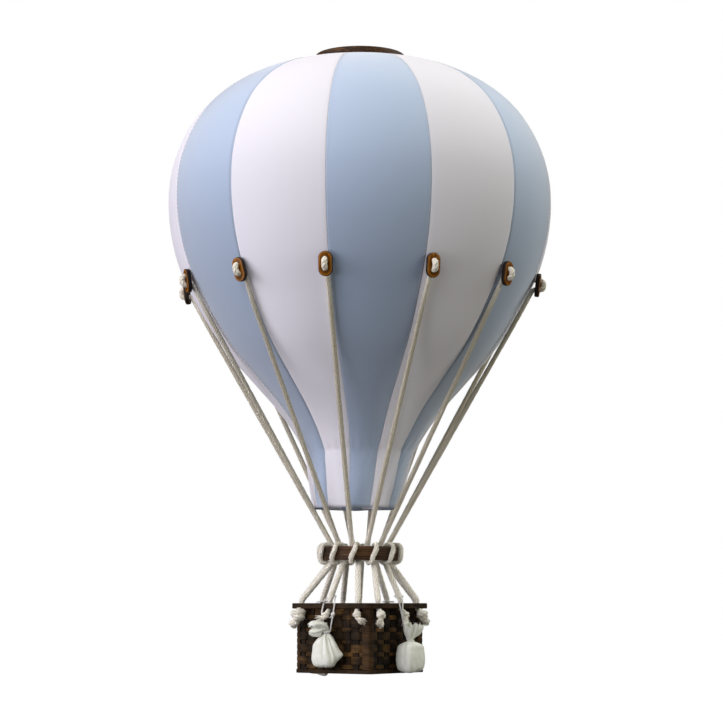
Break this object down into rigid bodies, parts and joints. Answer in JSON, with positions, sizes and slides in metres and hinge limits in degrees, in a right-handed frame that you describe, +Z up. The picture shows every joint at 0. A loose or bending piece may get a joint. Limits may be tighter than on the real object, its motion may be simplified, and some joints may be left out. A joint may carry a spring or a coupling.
{
  "type": "hanging hot air balloon model",
  "caption": "Hanging nursery hot air balloon model: striped pale blue and white cloth envelope, toggled ropes, wooden hoop and woven basket with sandbags.",
  "frame": {"origin": "the top of the hanging eye's hole, where its wire bears on the hook, on the balloon's vertical axis", "axes": "+Z up, -Y square out of the basket's front wall, +X square out of its right wall; the picture looks from 36 degrees to the right of -Y"},
  "size_m": [0.2994, 0.2994, 0.4979],
  "materials": {
    "cloth_blue": "pale grey-blue fine plain-weave cotton, taut and matt",
    "cloth_white": "lilac-white fine plain-weave cotton, taut and matt",
    "cotton_rope": "undyed twisted three-strand cotton rope",
    "cotton_bag": "undyed plain-weave cotton, gathered",
    "toggle_wood": "amber varnished wood with dark scorched edges",
    "dark_wood": "dark brown stained wood with open grain",
    "wicker": "dark brown flat strip weave",
    "piping": "dark corded edge of the mouth",
    "brass": "bent brass wire"
  },
  "bodies": {
    "root": {"hanging_eye": "brass", "crown_disc": "dark_wood", "gore_01": "cloth_white", "gore_02": "cloth_blue", "gore_03": "cloth_white", "gore_04": "cloth_blue", "gore_05": "cloth_white", "gore_06": "cloth_blue", "gore_07": "cloth_white", "gore_08": "cloth_blue", "gore_09": "cloth_white", "gore_10": "cloth_blue", "gore_11": "cloth_white", "gore_12": "cloth_blue", "mouth_piping": "piping", "toggle_01": "toggle_wood", "toggle_02": "toggle_wood", "toggle_03": "toggle_wood", "toggle_04": "toggle_wood", "toggle_05": "toggle_wood", "toggle_06": "toggle_wood", "toggle_07": "toggle_wood", "toggle_08": "toggle_wood", "toggle_09": "toggle_wood", "toggle_10": "toggle_wood", "toggle_11": "toggle_wood", "toggle_12": "toggle_wood", "rope_01": "cotton_rope", "rope_02": "cotton_rope", "rope_03": "cotton_rope", "rope_04": "cotton_rope", "rope_05": "cotton_rope", "rope_06": "cotton_rope", "rope_07": "cotton_rope", "rope_08": "cotton_rope", "rope_09": "cotton_rope", "rope_10": "cotton_rope", "rope_11": "cotton_rope", "rope_12": "cotton_rope", "load_hoop": "dark_wood", "basket_rim": "wicker", "basket_wall_front": "wicker", "basket_wall_right": "wicker", "basket_wall_back": "wicker", "basket_wall_left": "wicker", "basket_floor": "wicker", "bag_hitch_front": "cotton_rope", "bag_hitch_right": "cotton_rope", "bag_hitch_back": "cotton_rope", "bag_hitch_left": "cotton_rope"},
    "swinging_bag_front": {"sandbag_front": "cotton_bag", "bag_cord_front": "cotton_rope"},
    "swinging_bag_right": {"sandbag_right": "cotton_bag", "bag_cord_right": "cotton_rope"},
    "swinging_bag_back": {"sandbag_back": "cotton_bag", "bag_cord_back": "cotton_rope"},
    "swinging_bag_left": {"sandbag_left": "cotton_bag", "bag_cord_left": "cotton_rope"}
  },
  "joints": [
    {"name": "bag_swing_front", "type": "hinge", "parent": "root", "child": "swinging_bag_front", "pos_m": [-0.002, -0.0404, -0.4371], "axis": [-1, 0, 0], "range_deg": [0, 80]},
    {"name": "bag_swing_right", "type": "hinge", "parent": "root", "child": "swinging_bag_right", "pos_m": [0.0404, 0.003, -0.4371], "axis": [0, -1, 0], "range_deg": [0, 80]},
    {"name": "bag_swing_back", "type": "hinge", "parent": "root", "child": "swinging_bag_back", "pos_m": [0, 0.0404, -0.4371], "axis": [1, 0, 0], "range_deg": [0, 80]},
    {"name": "bag_swing_left", "type": "hinge", "parent": "root", "child": "swinging_bag_left", "pos_m": [-0.0404, 0, -0.4371], "axis": [0, 1, 0], "range_deg": [0, 80]}
  ]
}
